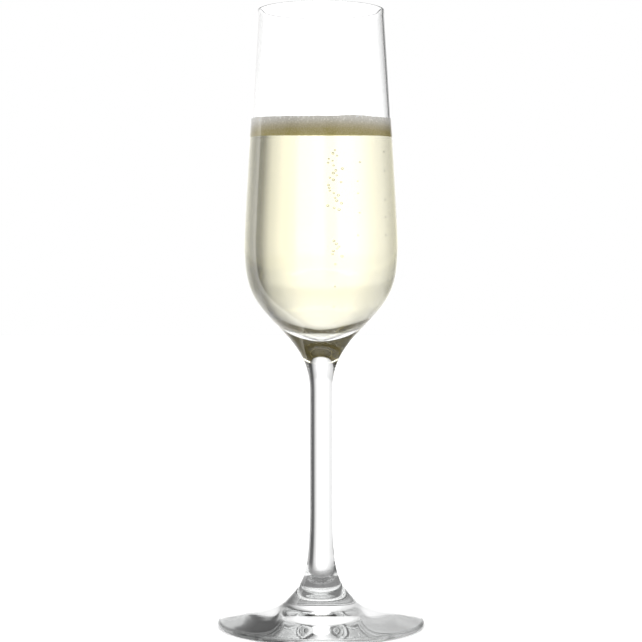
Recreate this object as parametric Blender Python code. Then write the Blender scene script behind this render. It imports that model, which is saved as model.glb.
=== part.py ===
"""A champagne flute with its pour: bowl, stem and foot of clear glass, the wine, and the mousse that lies on it.

Metres, +Z up. The origin is the middle of the ring that the foot stands on, and the glass is turned about Z.
The bowl, the stem and the foot are fused hot on the real glass, so they are modelled as three solids whose outlines
are stretches of one outer curve, from the lip down to the edge of the foot.
"""

import math

import bpy
from mathutils import Vector
from mathutils.geometry import interpolate_bezier

# Driving dimensions
HEIGHT = 0.224
LIP_RADIUS = 0.023
BELLY_RADIUS = 0.028
BELLY_HEIGHT = 0.1395
STEM_RADIUS = 0.0041
FOOT_RADIUS = 0.0377
LIP_WALL = 0.0009
BELLY_WALL = 0.0011
BOWL_FLOOR_HEIGHT = 0.1068
BOWL_JOINT_HEIGHT = 0.096
FOOT_JOINT_HEIGHT = 0.0090
WINE_TOP_HEIGHT = 0.1774
MOUSSE_TOP_HEIGHT = 0.1836

# Details of the outer curve
SHOULDER_RADIUS = 0.0162
SHOULDER_HEIGHT = 0.1098
STEM_TOP_HEIGHT = 0.085
STEM_LOW_HEIGHT = 0.046
FLARE_RADIUS = 0.0129
FLARE_HEIGHT = 0.0086
FOOT_EDGE_RADIUS = 0.0011
STANDING_RING_INNER_RADIUS = 0.0325
FOOT_HOLLOW_HEIGHT = 0.0035

# Where the round lip begins, and the handles that the curves leave and reach their main points with
LIP_HEIGHT = HEIGHT - LIP_WALL / 2
LIP_HANDLE = Vector((0.0017, 0, -0.025))
ABOVE_BELLY = Vector((0, 0, 0.007))
BELOW_BELLY = Vector((0, 0, -0.0155))
BELOW_INNER_BELLY = Vector((0, 0, -0.018))
INNER_FLOOR = Vector((0.006, 0, 0))
SHOULDER_SLOPE = Vector((1, 0, 1)).normalized()
ABOVE_SHOULDER = SHOULDER_SLOPE * 0.013
BELOW_SHOULDER = SHOULDER_SLOPE * -0.014
ABOVE_STEM = Vector((0, 0, 0.009))
BELOW_STEM = Vector((0, 0, -0.030))
INTO_FLARE = Vector((-0.0063, 0, 0.0071))
OUT_OF_FLARE = Vector((0.0030, 0, -0.0026))
INTO_BRINK = Vector((-0.018, 0, 0.0042))
OUT_OF_RING = Vector((-0.016, 0, 0.0002))
INTO_HOLLOW = Vector((0.012, 0, 0))

# How the solids are cut up
CLEARANCE = 0.0003
SIDES = 48
MERGE_DISTANCE = 0.00001


def point(radius, height):
    return Vector((radius, 0, height))


def arc(start, leaving, arriving, end, steps):
    """Points of the curve from start to end, whose handles are given from those two points, in steps stretches."""
    return interpolate_bezier(start, start + leaving, end + arriving, end, steps + 1)


def round_edge(radius, height, bend, start_turn, end_turn, steps):
    """Points of a circle of radius bend about (radius, height), with turns counted from straight outwards."""
    points = []
    for step in range(steps + 1):
        turn = start_turn + (end_turn - start_turn) * step / steps
        points.append(point(radius + bend * math.cos(turn), height + bend * math.sin(turn)))
    return points


def joined(*stretches):
    """One outline from stretches that begin where the last one ended."""
    outline = list(stretches[0])
    for stretch in stretches[1:]:
        outline.extend(stretch[1:])
    return outline


def outer_curve():
    """The outside of the bowl and stem, from the lip down to where the flare runs into the foot."""
    lip = point(LIP_RADIUS, LIP_HEIGHT)
    belly = point(BELLY_RADIUS, BELLY_HEIGHT)
    shoulder = point(SHOULDER_RADIUS, SHOULDER_HEIGHT)
    stem_top = point(STEM_RADIUS, STEM_TOP_HEIGHT)
    stem_low = point(STEM_RADIUS, STEM_LOW_HEIGHT)
    flare = point(FLARE_RADIUS, FLARE_HEIGHT)
    return joined(
        arc(lip, LIP_HANDLE, ABOVE_BELLY, belly, steps=8),
        arc(belly, BELOW_BELLY, ABOVE_SHOULDER, shoulder, steps=9),
        arc(shoulder, BELOW_SHOULDER, ABOVE_STEM, stem_top, steps=9),
        [stem_top, stem_low],
        arc(stem_low, BELOW_STEM, INTO_FLARE, flare, steps=12),
    )


def inner_curve():
    """The inside of the bowl, from its lowest point up to the lip."""
    floor = point(0, BOWL_FLOOR_HEIGHT)
    belly = point(BELLY_RADIUS - BELLY_WALL, BELLY_HEIGHT)
    lip = point(LIP_RADIUS - LIP_WALL, LIP_HEIGHT)
    return joined(
        arc(floor, INNER_FLOOR, BELOW_INNER_BELLY, belly, steps=14),
        arc(belly, ABOVE_BELLY, LIP_HANDLE, lip, steps=8),
    )


def foot_curve():
    """The top and edge of the foot, from the end of the flare round to the ring that it stands on."""
    flare = point(FLARE_RADIUS, FLARE_HEIGHT)
    brink = point(FOOT_RADIUS - FOOT_EDGE_RADIUS, 2 * FOOT_EDGE_RADIUS)
    top = arc(flare, OUT_OF_FLARE, INTO_BRINK, brink, steps=8)
    edge = round_edge(brink.x, FOOT_EDGE_RADIUS, FOOT_EDGE_RADIUS, math.pi / 2, -math.pi / 2, steps=6)
    return joined(top, edge)


def radius_at(curve, height):
    """The radius at which a curve crosses a height."""
    for first, second in zip(curve, curve[1:]):
        low, high = sorted((first.z, second.z))
        if low <= height <= high and low < high:
            share = (height - first.z) / (second.z - first.z)
            return first.x + (second.x - first.x) * share
    raise ValueError(f"the curve doesn't reach a height of {height} m")


def between(curve, low, high):
    """The stretch of a curve between two heights, with its ends exactly on them where the curve goes past them."""
    heights = [each.z for each in curve]
    stretch = [each for each in curve if low < each.z < high]
    ends = [point(radius_at(curve, level), level) for level in (low, high) if min(heights) <= level <= max(heights)]
    rising = curve[-1].z > curve[0].z
    return sorted(stretch + ends, key=lambda each: each.z if rising else -each.z)


def material(name, colour, roughness, clear=0.0):
    """A dielectric finish; clear is how much of the light goes through."""
    finish = bpy.data.materials.new(name)
    finish.use_nodes = True
    shader = finish.node_tree.nodes["Principled BSDF"]
    shader.inputs["Base Color"].default_value = (*colour, 1)
    shader.inputs["Roughness"].default_value = roughness
    shader.inputs["Metallic"].default_value = 0
    shader.inputs["Transmission Weight"].default_value = clear
    return finish


def turned(name, outline, finish):
    """A solid turned about Z from its outline, which starts and ends on the axis and runs down its outer side."""
    mesh = bpy.data.meshes.new(name)
    edges = [(index, index + 1) for index in range(len(outline) - 1)]
    mesh.from_pydata(outline, edges, [])
    mesh.materials.append(finish)
    piece = bpy.data.objects.new(name, mesh)
    bpy.context.scene.collection.objects.link(piece)
    lathe = piece.modifiers.new("lathe", "SCREW")
    lathe.axis = "Z"
    lathe.angle = 2 * math.pi
    lathe.steps = SIDES
    lathe.render_steps = SIDES
    lathe.use_merge_vertices = True
    lathe.merge_threshold = MERGE_DISTANCE
    lathe.use_smooth_shade = True
    return piece


def make_bowl(finish):
    """The bowl: a thin wall that thickens towards the solid glass under its floor."""
    outer = between(outer_curve(), BOWL_JOINT_HEIGHT + CLEARANCE / 2, HEIGHT)
    base = point(0, BOWL_JOINT_HEIGHT + CLEARANCE / 2)
    lip = round_edge(LIP_RADIUS - LIP_WALL / 2, LIP_HEIGHT, LIP_WALL / 2, math.pi, 0, steps=4)
    return turned("bowl", joined(inner_curve(), lip, outer) + [base], finish)


def make_stem(finish):
    """The stem: solid glass, slim for most of its length, and flaring at both ends."""
    top = BOWL_JOINT_HEIGHT - CLEARANCE / 2
    bottom = FOOT_JOINT_HEIGHT + CLEARANCE / 2
    side = between(outer_curve(), bottom, top)
    return turned("stem", [point(0, top)] + side + [point(0, bottom)], finish)


def make_foot(finish):
    """The foot: a low cone with a round edge, hollowed underneath so that it stands on a flat ring."""
    top = FOOT_JOINT_HEIGHT - CLEARANCE / 2
    side = joined(between(outer_curve(), FLARE_HEIGHT, top), foot_curve())
    ring = point(STANDING_RING_INNER_RADIUS, 0)
    hollow = point(0, FOOT_HOLLOW_HEIGHT)
    underside = arc(ring, OUT_OF_RING, INTO_HOLLOW, hollow, steps=8)
    return turned("foot", [point(0, top)] + side + underside, finish)


def filling(bottom, top):
    """The outline of something that fills the bowl from one height to another, a clearance away from the glass."""
    wall = inner_curve()
    inset = [each - point(CLEARANCE, 0) for each in wall if each.x > CLEARANCE]
    side = list(reversed(between(inset, bottom, top)))
    return [point(0, top)] + side + [point(0, bottom)]


def make_wine(finish):
    """The wine, as a solid that fills the bowl up to the underside of the mousse."""
    floor = BOWL_FLOOR_HEIGHT + CLEARANCE
    return turned("wine", filling(floor, WINE_TOP_HEIGHT), finish)


def make_mousse(finish):
    """The mousse: the layer of fine bubbles that lies on the wine."""
    return turned("mousse", filling(WINE_TOP_HEIGHT + CLEARANCE, MOUSSE_TOP_HEIGHT), finish)


for leftover in list(bpy.data.objects):
    bpy.data.objects.remove(leftover, do_unlink=True)

clear_glass = material("clear_glass", (0.97, 0.98, 0.98), 0.02, clear=1.0)
make_bowl(clear_glass)
make_stem(clear_glass)
make_foot(clear_glass)
make_wine(material("champagne", (0.93, 0.87, 0.66), 0.05, clear=0.9))
make_mousse(material("mousse_foam", (0.80, 0.76, 0.62), 0.6))
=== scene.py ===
# %% [markdown]
# # A flute of champagne
# A filled flute is almost nothing but light that is bent: three pieces of clear glass fused while hot, a
# pale wine, a layer of foam and a few strings of gas. This lesson turns each piece on its axis, as a
# glass maker does, and then spends its care on what the glass bends, because glass has hardly any colour
# of its own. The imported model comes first. It fixes where everything is, and the pieces below take their
# place from it.

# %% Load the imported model
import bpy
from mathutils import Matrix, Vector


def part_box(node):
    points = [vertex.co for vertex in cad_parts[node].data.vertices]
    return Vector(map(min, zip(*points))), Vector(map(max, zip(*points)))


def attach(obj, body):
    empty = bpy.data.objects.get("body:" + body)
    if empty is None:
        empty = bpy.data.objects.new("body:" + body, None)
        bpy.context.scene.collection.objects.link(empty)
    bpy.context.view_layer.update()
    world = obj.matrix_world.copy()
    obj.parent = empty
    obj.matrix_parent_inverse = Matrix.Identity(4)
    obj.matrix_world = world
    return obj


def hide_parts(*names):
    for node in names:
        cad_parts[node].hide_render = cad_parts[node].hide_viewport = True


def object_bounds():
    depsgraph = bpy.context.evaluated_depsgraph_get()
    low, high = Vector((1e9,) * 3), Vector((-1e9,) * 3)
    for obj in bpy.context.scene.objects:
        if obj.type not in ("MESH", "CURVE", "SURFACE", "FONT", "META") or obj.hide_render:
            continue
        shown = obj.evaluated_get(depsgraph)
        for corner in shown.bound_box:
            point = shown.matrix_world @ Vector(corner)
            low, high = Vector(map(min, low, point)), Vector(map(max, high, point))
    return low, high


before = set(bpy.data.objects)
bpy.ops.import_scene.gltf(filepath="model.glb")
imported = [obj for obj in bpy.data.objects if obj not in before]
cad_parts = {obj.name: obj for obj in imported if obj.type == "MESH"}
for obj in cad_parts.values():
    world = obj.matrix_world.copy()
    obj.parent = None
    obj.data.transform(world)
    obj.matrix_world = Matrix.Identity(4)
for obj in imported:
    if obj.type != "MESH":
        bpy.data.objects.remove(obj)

cad_low, cad_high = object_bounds()
print("the model's box runs from", tuple(cad_low), "to", tuple(cad_high))

# %% [markdown]
# ## What the script needs from Blender
# bmesh makes the meshes and interpolate_bezier draws their outlines. Random places the bubbles and noise
# roughens the foam, both in the same way each time, so every run gives the same glass.

# %% Imports
import math
import random

import bmesh
import bpy
from mathutils import Matrix, Vector, noise
from mathutils.geometry import interpolate_bezier

MM = 0.001
FULL_TURN = 2 * math.pi
SEED = 7
scene = bpy.context.scene
chance = random.Random(SEED)

# %% [markdown]
# ## The camera
# The eye is a little below the widest part of the bowl, so it looks up at the lip and down on the foot. A
# long lens keeps the sides of the bowl nearly parallel. The camera looks along +Y and is tipped down by a
# degree and a half. It has no shift and no depth of field.

# %% Camera
CAMERA_DISTANCE = 0.640
CAMERA_HEIGHT = 0.1279
CAMERA_TIP = math.radians(1.5)
LENS_MM = 98.5
SENSOR_MM = 36
NEAREST_SEEN = 0.01

camera_data = bpy.data.cameras.new("camera")
camera_data.lens = LENS_MM
camera_data.sensor_width = SENSOR_MM
camera_data.clip_start = NEAREST_SEEN
camera = bpy.data.objects.new("camera", camera_data)
camera.location = (0, -CAMERA_DISTANCE, CAMERA_HEIGHT)
camera.rotation_euler = (math.pi / 2 - CAMERA_TIP, 0, 0)
scene.collection.objects.link(camera)
scene.camera = camera
print("camera at", tuple(camera.location), "with a lens of", LENS_MM, "mm")

# %% [markdown]
# ## Colour and light paths
# The Standard view keeps white backdrops white. A ray can meet a dozen surfaces on its way through the
# bowl, the wine and the wall behind, and one that runs out of bounces turns black, so transmission gets
# plenty of them.

# %% Colour and light paths
MOST_BOUNCES = 32
DIFFUSE_BOUNCES = 4

scene.view_settings.view_transform = "Standard"
scene.view_settings.look = "None"
scene.cycles.max_bounces = MOST_BOUNCES
scene.cycles.transmission_bounces = MOST_BOUNCES
scene.cycles.transparent_max_bounces = MOST_BOUNCES
scene.cycles.glossy_bounces = MOST_BOUNCES // 2
scene.cycles.diffuse_bounces = DIFFUSE_BOUNCES
scene.cycles.caustics_reflective = True
scene.cycles.caustics_refractive = True
scene.cycles.use_denoising = True
print("view transform", scene.view_settings.view_transform, "and up to", MOST_BOUNCES, "bounces")

# %% [markdown]
# ## The studio
# Glass is lit by what stands round it. A studio puts a bright cloth behind, which fills the middle of the
# glass, and a black card beside it, which draws the dark line along one side. Lamps and planes could do
# this, but a world made of nodes costs no noise and shows in every view, so the studio is painted on the
# sky. Each pair below is a bearing in degrees and the light there. Bearings are counted clockwise from
# straight behind the glass. The card that the front view bends into its dark line stands between 25 and
# 60 degrees. Two narrow cards more stand on the near side, about -132 and 165 degrees. The front never
# shows them, but from other sides they draw the edge of the empty bowl, which would vanish against white.

# %% Backdrop and cards by bearing
BACKDROP = [
    (-146, 1.50),
    (-138, 0.25),
    (-126, 0.25),
    (-116, 1.20),
    (-90, 0.98),
    (-58, 1.00),
    (-46, 0.90),
    (-40, 0.90),
    (-33, 0.98),
    (-28, 1.06),
    (-20, 1.18),
    (-12, 1.45),
    (4, 1.50),
    (8, 1.44),
    (12, 1.24),
    (15, 1.05),
    (19, 0.83),
    (22, 0.71),
    (25, 0.46),
    (28, 0.17),
    (31, 0.06),
    (42, 0.05),
    (52, 0.14),
    (60, 0.40),
    (70, 0.80),
    (90, 1.10),
    (130, 1.40),
    (152, 1.50),
    (160, 0.25),
    (170, 0.25),
    (178, 1.50),
]
SOFTBOX = [
    (-180, 0.0),
    (-67, 0.0),
    (-65, 2.0),
    (-62, 1.7),
    (-56, 0.9),
    (-50, 0.4),
    (-40, 0.3),
    (-20, 0.0),
    (180, 0.0),
]
print("the backdrop has", len(BACKDROP), "stops, the softbox", len(SOFTBOX))

# %% [markdown]
# ## Nodes for the sky
# A colour ramp turns a bearing into light, and a Map Range node fades a light with height. The helpers
# below add a node, wire it up and hand it back, so that the sky itself reads as one short list of steps.

# %% Helpers for the sky
world = bpy.data.worlds.new("studio")
world.use_nodes = True
scene.world = world
sky = world.node_tree
sky.nodes.clear()


def wire(tree, source, target, leaving=0, entering=0):
    """A link from a node's output to another's input, each given by its name or its number."""
    tree.links.new(source.outputs[leaving], target.inputs[entering])


def combine(tree, operation, first, second, leaving_first=0, leaving_second=0):
    """A Math node that works on one output of each of two nodes."""
    node = tree.nodes.new("ShaderNodeMath")
    node.operation = operation
    wire(tree, first, node, leaving_first, 0)
    wire(tree, second, node, leaving_second, 1)
    return node


direction = sky.nodes.new("ShaderNodeTexCoord")
axes = sky.nodes.new("ShaderNodeSeparateXYZ")
wire(sky, direction, axes, "Generated")
bearing = combine(sky, "ARCTAN2", axes, axes, "X", "Y")
share = sky.nodes.new("ShaderNodeMath")
share.operation = "MULTIPLY_ADD"
share.inputs[1].default_value = 1 / FULL_TURN
share.inputs[2].default_value = 0.5
wire(sky, bearing, share)


def by_bearing(stops):
    """The light at a ray's bearing, read between the stops."""
    brightest = max(light for _, light in stops)
    cards = sky.nodes.new("ShaderNodeValToRGB")
    ramp = cards.color_ramp
    ramp.elements.remove(ramp.elements[-1])
    for index, (degrees, light) in enumerate(stops):
        position = degrees / 360 + 0.5
        stop = ramp.elements[0] if index == 0 else ramp.elements.new(position)
        stop.position = position
        stop.color = (light / brightest, light / brightest, light / brightest, 1)
    wire(sky, share, cards)
    scaled = sky.nodes.new("ShaderNodeMath")
    scaled.operation = "MULTIPLY"
    scaled.inputs[1].default_value = brightest
    wire(sky, cards, scaled)
    return scaled


def by_height(low, high, low_value, high_value):
    """A value that changes smoothly between two elevations in degrees."""
    height = sky.nodes.new("ShaderNodeMapRange")
    height.interpolation_type = "SMOOTHSTEP"
    height.inputs["From Min"].default_value = math.sin(math.radians(low))
    height.inputs["From Max"].default_value = math.sin(math.radians(high))
    height.inputs["To Min"].default_value = low_value
    height.inputs["To Max"].default_value = high_value
    wire(sky, axes, height, "Z", "Value")
    return height


# %% [markdown]
# ## Putting the sky together
# The backdrop is a little dimmer above the horizon and recovers further up. A soft ceiling lights the
# floor, and the ground stays dim, because the flare of the stem bends the light up from there and a
# bright ground would make it vanish. The softbox shows only in what the glass mirrors: seen through the
# wine it would burn out one side. Rays straight from the camera meet plain white. Each row of numbers
# below is a fade: its low and high elevation, and the value at each.

# %% Sky
GROUND_LIGHT = 0.28
CAMERA_SEES = 1.0
DIMMER_LOW = (4.5, 7.5, 1.0, 0.86)
BRIGHTER_HIGH = (8, 20, 1.0, 1.10)
CEILING = (54, 66, 0.0, 3.2)
GROUND_SHARE = (-38, -18, 1.0, 0.0)
MIRRORED_ABOVE = (6, 16, 1.0, 0.30)
WHITE = (1, 1, 1, 1)


def mixed(share_node, leaving):
    """A Mix node for plain numbers, whose share comes from another node."""
    node = sky.nodes.new("ShaderNodeMix")
    node.data_type = "FLOAT"
    wire(sky, share_node, node, leaving, 0)
    return node


path = sky.nodes.new("ShaderNodeLightPath")
fading = combine(sky, "MULTIPLY", by_height(*DIMMER_LOW), by_height(*BRIGHTER_HIGH))
backdrop = combine(sky, "MULTIPLY", by_bearing(BACKDROP), fading)
above = combine(sky, "ADD", backdrop, by_height(*CEILING))
around = mixed(by_height(*GROUND_SHARE), 0)
wire(sky, above, around, 0, 2)
around.inputs[3].default_value = GROUND_LIGHT
gloss = combine(sky, "SUBTRACT", path, path, "Is Reflection Ray", "Is Diffuse Ray")
dimmed = mixed(gloss, 0)
dimmed.inputs[2].default_value = 1.0
wire(sky, by_height(*MIRRORED_ABOVE), dimmed, 0, 3)
bent = combine(sky, "MULTIPLY", around, dimmed)
mirrored = combine(sky, "MULTIPLY", gloss, by_bearing(SOFTBOX))
light = combine(sky, "ADD", bent, mirrored)
seen = mixed(path, "Is Camera Ray")
wire(sky, light, seen, 0, 2)
seen.inputs[3].default_value = CAMERA_SEES
shine = sky.nodes.new("ShaderNodeBackground")
shine.inputs["Color"].default_value = WHITE
wire(sky, seen, shine, 0, "Strength")
wire(sky, shine, sky.nodes.new("ShaderNodeOutputWorld"), 0, "Surface")
print("the sky has", len(sky.nodes), "nodes")

# %% [markdown]
# ## The floor
# A pale, plain floor catches the soft shadow. It is staged, so it isn't part of the glass. Rays that come
# through the glass don't see it and meet the dim ground of the sky instead. The two helpers serve every
# piece and finish below. Faces are shaded smooth, but where two of them meet at more than 50 degrees the
# edge is marked sharp. A smooth corner on the wine would bend its flat top near the rim and draw a dark
# ring there.

# %% Floor
FLOOR_HALF_WIDTH = 3.0
FLOOR_COLOUR = (0.86, 0.86, 0.86, 1)
SHARP_CORNER = math.radians(50)


def new_finish(name, colour, roughness, index=1.5, clear=0):
    """A node material and its Principled shader; clear is how much of the light goes through."""
    finish = bpy.data.materials.new(name)
    finish.use_nodes = True
    shader = finish.node_tree.nodes["Principled BSDF"]
    shader.inputs["Base Color"].default_value = colour
    shader.inputs["Roughness"].default_value = roughness
    shader.inputs["IOR"].default_value = index
    shader.inputs["Transmission Weight"].default_value = clear
    return finish, shader


def new_piece(name, bm, finishes):
    """An object at the origin from a bmesh, with smooth faces and its finishes in order."""
    for face in bm.faces:
        face.smooth = True
    mesh = bpy.data.meshes.new(name)
    bm.to_mesh(mesh)
    bm.free()
    for finish in finishes:
        mesh.materials.append(finish)
    mesh.set_sharp_from_angle(angle=SHARP_CORNER)
    piece = bpy.data.objects.new(name, mesh)
    scene.collection.objects.link(piece)
    print(name, "has", len(mesh.polygons), "faces")
    return piece


floor_finish, shader = new_finish("white_floor", FLOOR_COLOUR, roughness=0.6)
bm = bmesh.new()
bmesh.ops.create_grid(bm, x_segments=1, y_segments=1, size=FLOOR_HALF_WIDTH)
floor = new_piece("floor", bm, [floor_finish])
floor.visible_transmission = False
floor.visible_glossy = False

# %% [markdown]
# ## Drawing an outline
# Every solid here is turned, so it is drawn first as one half of its section: points in the plane y = 0,
# with the radius along X. Bezier arcs make curves that stay smooth however finely they are cut, and a
# rounded edge is a piece of a circle. The same few helpers serve the glass, the wine and the foam.

# %% Outline helpers
def point(radius, height):
    return Vector((radius, 0, height))


def arc(start, leaving, arriving, end, steps):
    """Points of a curve from start to end, whose handles are given from those two points."""
    return interpolate_bezier(start, start + leaving, end + arriving, end, steps + 1)


def joined(*stretches):
    """One outline from stretches that begin where the last one ended."""
    outline = list(stretches[0])
    for stretch in stretches[1:]:
        outline.extend(stretch[1:])
    return outline


def round_edge(radius, height, bend, start_turn, end_turn, steps):
    """Points of a circle of radius bend, with turns counted from straight outwards."""
    points = []
    for step in range(steps + 1):
        turn = start_turn + (end_turn - start_turn) * step / steps
        points.append(point(radius + bend * math.cos(turn), height + bend * math.sin(turn)))
    return points


def radius_at(curve, height):
    """The radius at which a curve crosses a height."""
    for first, second in zip(curve, curve[1:]):
        low, high = sorted((first.z, second.z))
        if low <= height <= high and low < high:
            along = (height - first.z) / (second.z - first.z)
            return first.x + (second.x - first.x) * along
    raise ValueError(f"the curve doesn't reach {height}")


# %% [markdown]
# ## Cutting a curve
# The bowl, the stem and the foot are stretches of one outer curve. Where two of them meet, the shading
# must run on as if the glass were one piece. A smooth normal is the mean of the faces round it, so each
# cut gets a second point right beside it: then only a sliver of a face decides the normal at the cut, and
# both sides agree.

# %% Cutting helper
BESIDE_CUT = 0.05 * MM


def between(curve, low, high):
    """The stretch of a curve between two heights, with a point on each cut and one beside it."""
    heights = [each.z for each in curve]
    levels = [low, low + BESIDE_CUT, high - BESIDE_CUT, high]
    reached = [level for level in levels if min(heights) <= level <= max(heights)]
    ends = [point(radius_at(curve, level), level) for level in reached]
    stretch = [each for each in curve if low + 2 * BESIDE_CUT < each.z < high - 2 * BESIDE_CUT]
    rising = curve[-1].z > curve[0].z
    return sorted(stretch + ends, key=lambda each: each.z if rising else -each.z)


# %% [markdown]
# ## The sizes
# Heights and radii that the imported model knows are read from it. The rest repeats its drawing: where the
# walls stand, where the glass maker fused the pieces, and how far each Bezier handle reaches.

# %% Sizes
HEIGHT = cad_high.z
BELLY_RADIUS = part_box("bowl")[1].x
FOOT_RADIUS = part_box("foot")[1].x
LIP_RADIUS = 23.0 * MM
BELLY_HEIGHT = 139.5 * MM
STEM_RADIUS = 4.1 * MM
LIP_WALL = 0.9 * MM
BELLY_WALL = 1.1 * MM
BOWL_JOINT = 96.0 * MM
FOOT_JOINT = 9.0 * MM
BOWL_FLOOR = 106.8 * MM
FOOT_EDGE = 1.1 * MM

lip_point = point(LIP_RADIUS, HEIGHT - LIP_WALL / 2)
belly_point = point(BELLY_RADIUS, BELLY_HEIGHT)
shoulder_point = point(16.2 * MM, 109.8 * MM)
stem_top_point = point(STEM_RADIUS, 85 * MM)
stem_low_point = point(STEM_RADIUS, 46 * MM)
flare_point = point(12.9 * MM, 8.6 * MM)
brink_point = point(FOOT_RADIUS - FOOT_EDGE, 2 * FOOT_EDGE)
ring_point = point(32.5 * MM, 0)
hollow_point = point(0, 3.5 * MM)
print("bowl", round(BELLY_RADIUS / MM, 1), "mm in radius, foot", round(FOOT_RADIUS / MM, 1), "mm")

# %% [markdown]
# ## The curves of the glass
# The outside runs from the lip over the belly and the shoulder into the stem, and flares out again into
# the foot. The inside leaves a wall about a millimetre thick and closes in a narrow, rounded floor, with
# solid glass under it. That floor is worth care: it is the lens that draws the bright crescent under the
# wine.

# %% Curves
LIP_HANDLE = point(1.7 * MM, -25 * MM)
ABOVE_BELLY = point(0, 7 * MM)
SHOULDER_SLOPE = Vector((1, 0, 1)).normalized()
STEM_HANDLE = point(0, 13 * MM)

outside = joined(
    arc(lip_point, LIP_HANDLE, ABOVE_BELLY, belly_point, steps=30),
    arc(belly_point, point(0, -15.5 * MM), SHOULDER_SLOPE * 13 * MM, shoulder_point, steps=40),
    arc(shoulder_point, SHOULDER_SLOPE * -14 * MM, point(0, 9 * MM), stem_top_point, steps=40),
    arc(stem_top_point, -STEM_HANDLE, STEM_HANDLE, stem_low_point, steps=10),
    arc(stem_low_point, point(0, -30 * MM), point(-6.3 * MM, 7.1 * MM), flare_point, steps=50),
)
floor_point = point(0, BOWL_FLOOR)
inner_belly_point = belly_point - point(BELLY_WALL, 0)
inner_lip_point = lip_point - point(LIP_WALL, 0)
inside = joined(
    arc(floor_point, point(6 * MM, 0), point(0, -18 * MM), inner_belly_point, steps=60),
    arc(inner_belly_point, ABOVE_BELLY, LIP_HANDLE, inner_lip_point, steps=30),
)
foot_top = arc(flare_point, point(3 * MM, -2.6 * MM), point(-18 * MM, 4.2 * MM), brink_point, steps=30)
foot_edge = round_edge(brink_point.x, FOOT_EDGE, FOOT_EDGE, math.pi / 2, -math.pi / 2, steps=16)
foot_under = arc(ring_point, point(-16 * MM, 0.2 * MM), point(12 * MM, 0), hollow_point, steps=40)
print("outside", len(outside), "points, inside", len(inside))

# %% [markdown]
# ## Turning
# The spin operator is the lathe. use_merge closes the last step onto the first, remove_doubles gathers
# the points that lie on the axis, and recalc_face_normals then points the closed shell outwards. A flat
# face that lies in a joint between two pieces of glass takes the second finish.

# %% Lathe
GLASS_SIDES = 160
SAME_POINT = 0.0005 * MM


def spun(outline, sides):
    """A closed shell, as a bmesh, from an outline that starts and ends on the axis."""
    bm = bmesh.new()
    corners = [bm.verts.new(each) for each in outline]
    edges = [bm.edges.new(pair) for pair in zip(corners, corners[1:])]
    bmesh.ops.spin(bm, geom=corners + edges, axis=(0, 0, 1), angle=FULL_TURN, steps=sides, use_merge=True)
    bmesh.ops.remove_doubles(bm, verts=bm.verts, dist=SAME_POINT)
    bmesh.ops.recalc_face_normals(bm, faces=bm.faces)
    return bm


def lies_at(face, heights):
    return any(all(abs(corner.co.z - height) < SAME_POINT for corner in face.verts) for height in heights)


def turned_glass(name, outline, joints):
    """A piece of glass, whose flat faces at the joints are seen through as if they weren't there."""
    bm = spun(outline, GLASS_SIDES)
    for face in bm.faces:
        face.material_index = 1 if lies_at(face, joints) else 0
    return new_piece(name, bm, [clear_glass, fused_joint])


# %% [markdown]
# ## Glass, and joints that can't be seen
# Crystal has an index of 1.5 and a fire-polished surface, so its roughness is nothing. Its colour is in
# its body: a faint grey-green that shows only where light runs through centimetres of it, as in the foot
# and under the wine, and leaves the thin bowl clear. That is absorption in the volume, not a tint on the
# skin. Two solids that touch would show their joint as a mirror, because each one ends there in air. The
# fused joint is therefore a transparent shader, which lets a ray go straight on from one piece into the
# next.

# %% Glass finishes
GLASS_INDEX = 1.5
GLASS_BODY = (0.0, 0.04, 0.02, 1)
GLASS_DENSITY = 5.0


def colour_in_depth(finish, colour, density):
    """Absorption inside a clear finish: the less of a colour, the faster it is lost."""
    body = finish.node_tree.nodes.new("ShaderNodeVolumeAbsorption")
    body.inputs["Color"].default_value = colour
    body.inputs["Density"].default_value = density
    wire(finish.node_tree, body, finish.node_tree.nodes["Material Output"], 0, "Volume")


clear_glass, shader = new_finish("clear_glass", WHITE, roughness=0, index=GLASS_INDEX, clear=1)
colour_in_depth(clear_glass, GLASS_BODY, GLASS_DENSITY)

fused_joint, shader = new_finish("fused_joint", WHITE, roughness=0)
fused_joint.node_tree.nodes.remove(shader)
through = fused_joint.node_tree.nodes.new("ShaderNodeBsdfTransparent")
wire(fused_joint.node_tree, through, fused_joint.node_tree.nodes["Material Output"], 0, "Surface")
print("glass with an index of", GLASS_INDEX, "and joints that let light straight on")

# %% [markdown]
# ## Bowl, stem and foot
# Each outline goes once round the section of its piece. The bowl starts at its floor, climbs the inside,
# rounds the fire-polished lip and comes down outside to its joint. The stem is solid. The foot is a low
# cone whose edge is a half circle, hollowed underneath so that it stands on a ring.

# %% Bowl
lip_round = round_edge(LIP_RADIUS - LIP_WALL / 2, lip_point.z, LIP_WALL / 2, math.pi, 0, steps=10)
bowl_outside = between(outside, BOWL_JOINT, lip_point.z)
bowl_outline = joined(inside, lip_round, bowl_outside) + [point(0, BOWL_JOINT)]
bowl = turned_glass("glass_bowl", bowl_outline, [BOWL_JOINT])

# %% Stem
stem_outline = [point(0, BOWL_JOINT)] + between(outside, FOOT_JOINT, BOWL_JOINT) + [point(0, FOOT_JOINT)]
stem = turned_glass("glass_stem", stem_outline, [BOWL_JOINT, FOOT_JOINT])

# %% Foot
foot_side = joined(between(outside, flare_point.z, FOOT_JOINT), foot_top, foot_edge)
foot = turned_glass("glass_foot", [point(0, FOOT_JOINT)] + foot_side + foot_under, [FOOT_JOINT])

# %% [markdown]
# ## The wine
# Where wine meets glass there is no air, but two surfaces in one place would fight each other. The usual
# answer is an overlap: the wine reaches a hair into the wall, and each surface keeps its own index. The
# colour is in the depth of the liquid, not on its skin, so it comes from absorption: blue goes first, a
# little green follows, and the thin edges stay paler than the middle.

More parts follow.
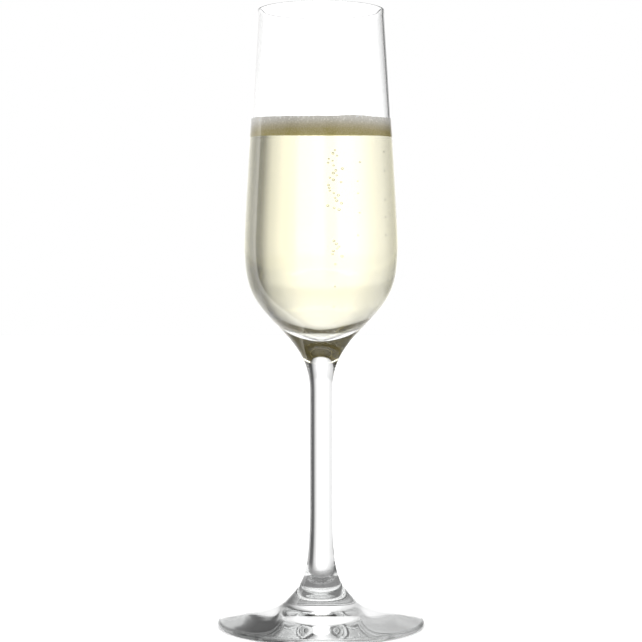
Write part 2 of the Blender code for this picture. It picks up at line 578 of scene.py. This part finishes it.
# %% Wine
WINE_TOP = 177.6 * MM
WINE_OVERLAP = 0.12 * MM
ABOVE_FLOOR = 0.01 * MM
NARROWEST = 1 * MM
WINE_INDEX = 1.34
WINE_BODY = (0.99, 0.86, 0.0, 1)
WINE_DENSITY = 7.0

champagne, shader = new_finish("champagne", WHITE, roughness=0, index=WINE_INDEX, clear=1)
colour_in_depth(champagne, WINE_BODY, WINE_DENSITY)

wetted = [each for each in between(inside, BOWL_FLOOR + ABOVE_FLOOR, WINE_TOP) if each.x > NARROWEST]
wine_side = [each + point(WINE_OVERLAP, -WINE_OVERLAP / 2) for each in reversed(wetted)]
wine_side[0].z = WINE_TOP
wine_outline = [point(0, WINE_TOP)] + wine_side + [point(0, BOWL_FLOOR - WINE_OVERLAP / 2)]
wine = new_piece("sparkling_wine", spun(wine_outline, GLASS_SIDES), [champagne])

# %% [markdown]
# ## The mousse
# The foam is a layer about six millimetres deep. Its bubbles burst at the top, so it is pale and coarse
# there, and it is fine, wet and olive where it drinks the wine. It creeps up the wall at the sides and
# hangs down along it in front. A disc with many rings is turned first, and its points are then moved: the
# top gets a swell and lumps of three sizes, and the skirt along the wall gets small waves of its own.
# Noise that is read at a point's place gives the same foam on every run.

# %% Mousse sizes
MOUSSE_TOP = 183.5 * MM
MOUSSE_CLIMB = 0.9 * MM
CLIMB_POWER = 4
MOUSSE_DIP = 1.10 * MM
DIP_POWER = 24
DIP_WAVES = 0.10 * MM
DIP_WAVE_WIDTH = 1.2 * MM
MOUSSE_GAP = 0.06 * MM
MOUSSE_OVERLAP = 0.16 * MM
MOUSSE_SIDES = 288
MOUSSE_RINGS = 40
WALL_STEPS = 14
SWELL = Vector((11, -20, 0)) * MM
SWELL_REACH = 4.5 * MM
SWELL_HEIGHT = 0.5 * MM
TOP_LUMPS = ((0.16, 5 * MM), (0.12, 1.6 * MM), (0.09, 0.7 * MM))
DIP_SEED = 4
SIDE_STARTS = 1.001

mousse_bottom = WINE_TOP + MOUSSE_GAP
mousse_radius = radius_at(inside, MOUSSE_TOP) + MOUSSE_OVERLAP
mousse_depth = MOUSSE_TOP - mousse_bottom
print("mousse", round(mousse_radius / MM, 2), "mm in radius and", round(mousse_depth / MM, 2), "mm deep")


# %% Mousse surfaces
def rough(place, lump, seed):
    """Noise between about -1 and 1, with lumps of a given size."""
    return noise.noise(place / lump + Vector((seed, seed, seed)))


def sideways(place):
    """0 in front of the axis and behind it, 1 out at the sides."""
    return place.x ** 2 / max(place.length ** 2, SAME_POINT ** 2)


def in_front(place):
    """1 right in front of the axis, 0 at the sides and behind it."""
    return 1 - sideways(place) if place.y < 0 else 0


def mousse_top_at(place):
    """The height of the foam's top, with its climb at the wall, its one swell and its lumps."""
    climb = MOUSSE_CLIMB * sideways(place) * (place.length / mousse_radius) ** CLIMB_POWER
    swell = SWELL_HEIGHT * math.exp(-((place - SWELL).length / SWELL_REACH) ** 2)
    lumps = sum(height * rough(place, width, 1 + index) for index, (height, width) in enumerate(TOP_LUMPS))
    return MOUSSE_TOP + climb + swell + lumps * MM


def mousse_bottom_at(place):
    """The height of the foam's underside, which hangs down only right at the wall."""
    near_wall = (place.length / mousse_radius) ** DIP_POWER
    dip = MOUSSE_DIP * in_front(place) + DIP_WAVES * rough(place, DIP_WAVE_WIDTH, DIP_SEED)
    return mousse_bottom - near_wall * max(dip, 0)


# %% [markdown]
# ## Moving the points
# Each point keeps its share of the height between underside and top while those two move. A point of the
# side is then put back on the wall at its new height, or the foam would leave the glass where the bowl
# narrows.

# %% Mousse layer
flat_rings = [mousse_radius * ring / MOUSSE_RINGS for ring in range(MOUSSE_RINGS)]
wall_levels = [mousse_bottom + mousse_depth * step / WALL_STEPS for step in range(WALL_STEPS + 1)]
mousse_outline = [point(radius, MOUSSE_TOP) for radius in flat_rings]
mousse_outline += [point(mousse_radius * SIDE_STARTS, level) for level in reversed(wall_levels)]
mousse_outline += [point(radius, mousse_bottom) for radius in reversed(flat_rings)]

bm = spun(mousse_outline, MOUSSE_SIDES)
for corner in bm.verts:
    across = Vector((corner.co.x, corner.co.y, 0))
    share_of_height = (corner.co.z - mousse_bottom) / mousse_depth
    low = mousse_bottom_at(across)
    level = low + (mousse_top_at(across) - low) * share_of_height
    if across.length > mousse_radius:
        across = across.normalized() * (radius_at(inside, level) + MOUSSE_OVERLAP)
    corner.co = across + point(0, level)
print("the mousse has", len(bm.verts), "points")

# %% [markdown]
# ## The finish of the foam
# Height decides the colour, through a ramp on the object's own Z. Two Voronoi patterns give the cells:
# fine ones all over, and coarse ones that show near the top, where small bubbles have joined. A painted
# highlight makes each cell paler in its middle, with a little painted shade at its edge, and the same
# patterns drive the bump, which gives the cells real relief.

# %% Mousse finish
COARSE_CELL = 1.1 * MM
FINE_CELL = 0.5 * MM
MOUSSE_COLOURS = [
    (0.00, (0.74, 0.66, 0.28)),
    (0.12, (0.60, 0.52, 0.23)),
    (0.35, (0.58, 0.50, 0.25)),
    (0.58, (0.66, 0.60, 0.43)),
    (0.80, (0.80, 0.77, 0.68)),
    (1.00, (0.92, 0.90, 0.85)),
]

mousse_foam, shader = new_finish("mousse_foam", WHITE, roughness=0.4, index=WINE_INDEX)
foam = mousse_foam.node_tree
place = foam.nodes.new("ShaderNodeTexCoord")
foam_axes = foam.nodes.new("ShaderNodeSeparateXYZ")
wire(foam, place, foam_axes, "Object")


def foam_share(source, socket, low, high, low_value, high_value):
    """A foam value that is spread from one range onto another."""
    node = foam.nodes.new("ShaderNodeMapRange")
    node.inputs["From Min"].default_value = low
    node.inputs["From Max"].default_value = high
    node.inputs["To Min"].default_value = low_value
    node.inputs["To Max"].default_value = high_value
    wire(foam, source, node, socket, "Value")
    return node


def foam_cells(size):
    """Voronoi cells of a given size: how far each place is from its cell's middle."""
    pattern = foam.nodes.new("ShaderNodeTexVoronoi")
    pattern.inputs["Scale"].default_value = 1 / size
    wire(foam, place, pattern, "Object", "Vector")
    return pattern


tone = foam.nodes.new("ShaderNodeValToRGB")
stops = tone.color_ramp.elements
stops.remove(stops[-1])
for index, (height, colour) in enumerate(MOUSSE_COLOURS):
    stop = stops[0] if index == 0 else stops.new(height)
    stop.position = height
    stop.color = (*colour, 1)
wire(foam, foam_share(foam_axes, "Z", mousse_bottom - MOUSSE_DIP, MOUSSE_TOP, 0, 1), tone)
print("the foam's colour has", len(stops), "stops")

# %% [markdown]
# ## Painted cell light and relief
# The coarse pattern is let in by height, so it fades out three millimetres below the top. Both patterns
# are added up, with the coarse one stronger. A brightness node adds the sum to the ramp's colour as
# painted highlights and painted shade, and the bump reads the same sum as relief.

# %% Mousse cells
COARSE_DEPTH = 3.0 * MM
COARSE_FADE = (0.10, 0.42, 1.0, 0.0)
FINE_FADE = (0.05, 0.70, 0.06, -0.05)
COARSE_STRENGTH = 0.34
RELIEF_STRENGTH = 0.5
RELIEF_DEPTH = 0.15 * MM

# The sum built here is painted light: a painted highlight in each cell's middle and a little painted shade
# at its edge. It is also the bump's height.
near_top = foam_share(foam_axes, "Z", MOUSSE_TOP - COARSE_DEPTH, MOUSSE_TOP, 0.0, 1.0)
coarse_cells = foam_share(foam_cells(COARSE_CELL), "Distance", *COARSE_FADE)
coarse_painted_light_and_relief = combine(foam, "MULTIPLY", coarse_cells, near_top)
fine_painted_light_and_relief = foam_share(foam_cells(FINE_CELL), "Distance", *FINE_FADE)
painted_cell_light_and_relief = foam.nodes.new("ShaderNodeMath")
painted_cell_light_and_relief.operation = "MULTIPLY_ADD"
painted_cell_light_and_relief.inputs[1].default_value = COARSE_STRENGTH
wire(foam, coarse_painted_light_and_relief, painted_cell_light_and_relief, 0, 0)
wire(foam, fine_painted_light_and_relief, painted_cell_light_and_relief, 0, 2)
# Here the painted highlights and painted shade are added to the foam's colour.
foam_colour_with_painted_light = foam.nodes.new("ShaderNodeBrightContrast")
wire(foam, tone, foam_colour_with_painted_light, "Color", "Color")
wire(foam, painted_cell_light_and_relief, foam_colour_with_painted_light, 0, "Bright")
wire(foam, foam_colour_with_painted_light, shader, 0, "Base Color")
relief = foam.nodes.new("ShaderNodeBump")
relief.inputs["Strength"].default_value = RELIEF_STRENGTH
relief.inputs["Distance"].default_value = RELIEF_DEPTH
wire(foam, painted_cell_light_and_relief, relief, 0, "Height")
wire(foam, relief, shader, 0, "Normal")
mousse = new_piece("mousse_layer", bm, [mousse_foam])

# %% [markdown]
# ## Bubbles
# A bubble in wine is a hole, not a thing: inside it the light is back in air. Its finish is therefore
# glass with an index below one, that of air as seen from the wine, and it has no colour. Thousands of
# faces would be wasted on a dot, so each bubble is an icosphere of two subdivisions, shaded smooth, and
# all of them are one piece.

# %% Bubble finish
BUBBLE_DETAIL = 2
AIR_FROM_WINE = 1 / WINE_INDEX

gas_bubble, shader = new_finish("gas_bubble", WHITE, roughness=0, index=AIR_FROM_WINE, clear=1)
print("a bubble's index is", round(AIR_FROM_WINE, 3))


def add_bubble(bm, centre, diameter):
    """One small sphere, added to the mesh of all the bubbles."""
    there = Matrix.Translation(centre)
    bmesh.ops.create_icosphere(bm, subdivisions=BUBBLE_DETAIL, radius=diameter / 2, matrix=there)


# %% [markdown]
# ## Where bubbles rise
# Gas comes out of the wine at a speck on the glass, so bubbles follow each other up one line. Each takes
# in more gas as it climbs: it swells and speeds up, and the gaps grow with height. Higher up the rising
# wine turns over, and the bubbles there wander in a loose crowd. Each row below is a string, in
# millimetres: where it starts, how high it goes, its first and last gap, how far it wanders, and its
# smallest and largest bubble.

# %% Strings of bubbles
LEAST_BUBBLE = 0.8
MOST_BUBBLE = 1.15
LEAST_GAP = 0.7
MOST_GAP = 1.35
BUBBLE_STRINGS = {
    "singles from the floor": ((3.9, -2, 110.5), 132, (5, 9), 0.3, (0.4, 0.7)),
    "the crowd at half height": ((4.4, -2, 134.5), 140.5, (0.9, 0.9), 1.6, (0.85, 0.85)),
    "loose ones above it": ((4.0, -2, 151), 172.5, (0.8, 0.9), 2.3, (0.85, 0.8)),
    "a row at the wall": ((21.8, -12.6, 142), 176, (8, 7), 0, (0.6, 0.7)),
    "faint ones behind": ((9.6, 6, 142), 172, (6, 6), 0.3, (0.5, 0.6)),
}


def between_ends(ends, share):
    return ends[0] + (ends[1] - ends[0]) * share


def rising_string(bm, start, top, gaps, wander, diameters):
    """Bubbles above each other from a start up to a height, whose gaps and sizes change on the way."""
    level = start.z
    count = 0
    while level < top:
        climbed = (level - start.z) / (top - start.z)
        aside = Vector((chance.uniform(-1, 1), chance.uniform(-1, 1), 0)) * wander
        diameter = between_ends(diameters, climbed) * chance.uniform(LEAST_BUBBLE, MOST_BUBBLE)
        add_bubble(bm, (Vector((start.x, start.y, level)) + aside) * MM, diameter * MM)
        level += between_ends(gaps, climbed) * chance.uniform(LEAST_GAP, MOST_GAP)
        count += 1
    return count


bm = bmesh.new()
for title, (start, top, gaps, wander, diameters) in BUBBLE_STRINGS.items():
    print(title + ":", rising_string(bm, Vector(start), top, gaps, wander, diameters))
bubbles = new_piece("rising_bubbles", bm, [gas_bubble])

# %% [markdown]
# ## Riding on the model
# Every piece belongs to the one body that the model has. Each names the solid that it stands for, which
# is then hidden, and the material slot that its finish comes from. The bubbles are part of the wine.

# %% Ride and replace
for piece, node, slot in (
    (bowl, "bowl", "clear_glass"),
    (stem, "stem", "clear_glass"),
    (foot, "foot", "clear_glass"),
    (wine, "wine", "champagne"),
    (bubbles, "wine", "champagne"),
    (mousse, "mousse", "mousse_foam"),
):
    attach(piece, "root")
    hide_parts(node)
    print(piece.name, "takes the place of", node)
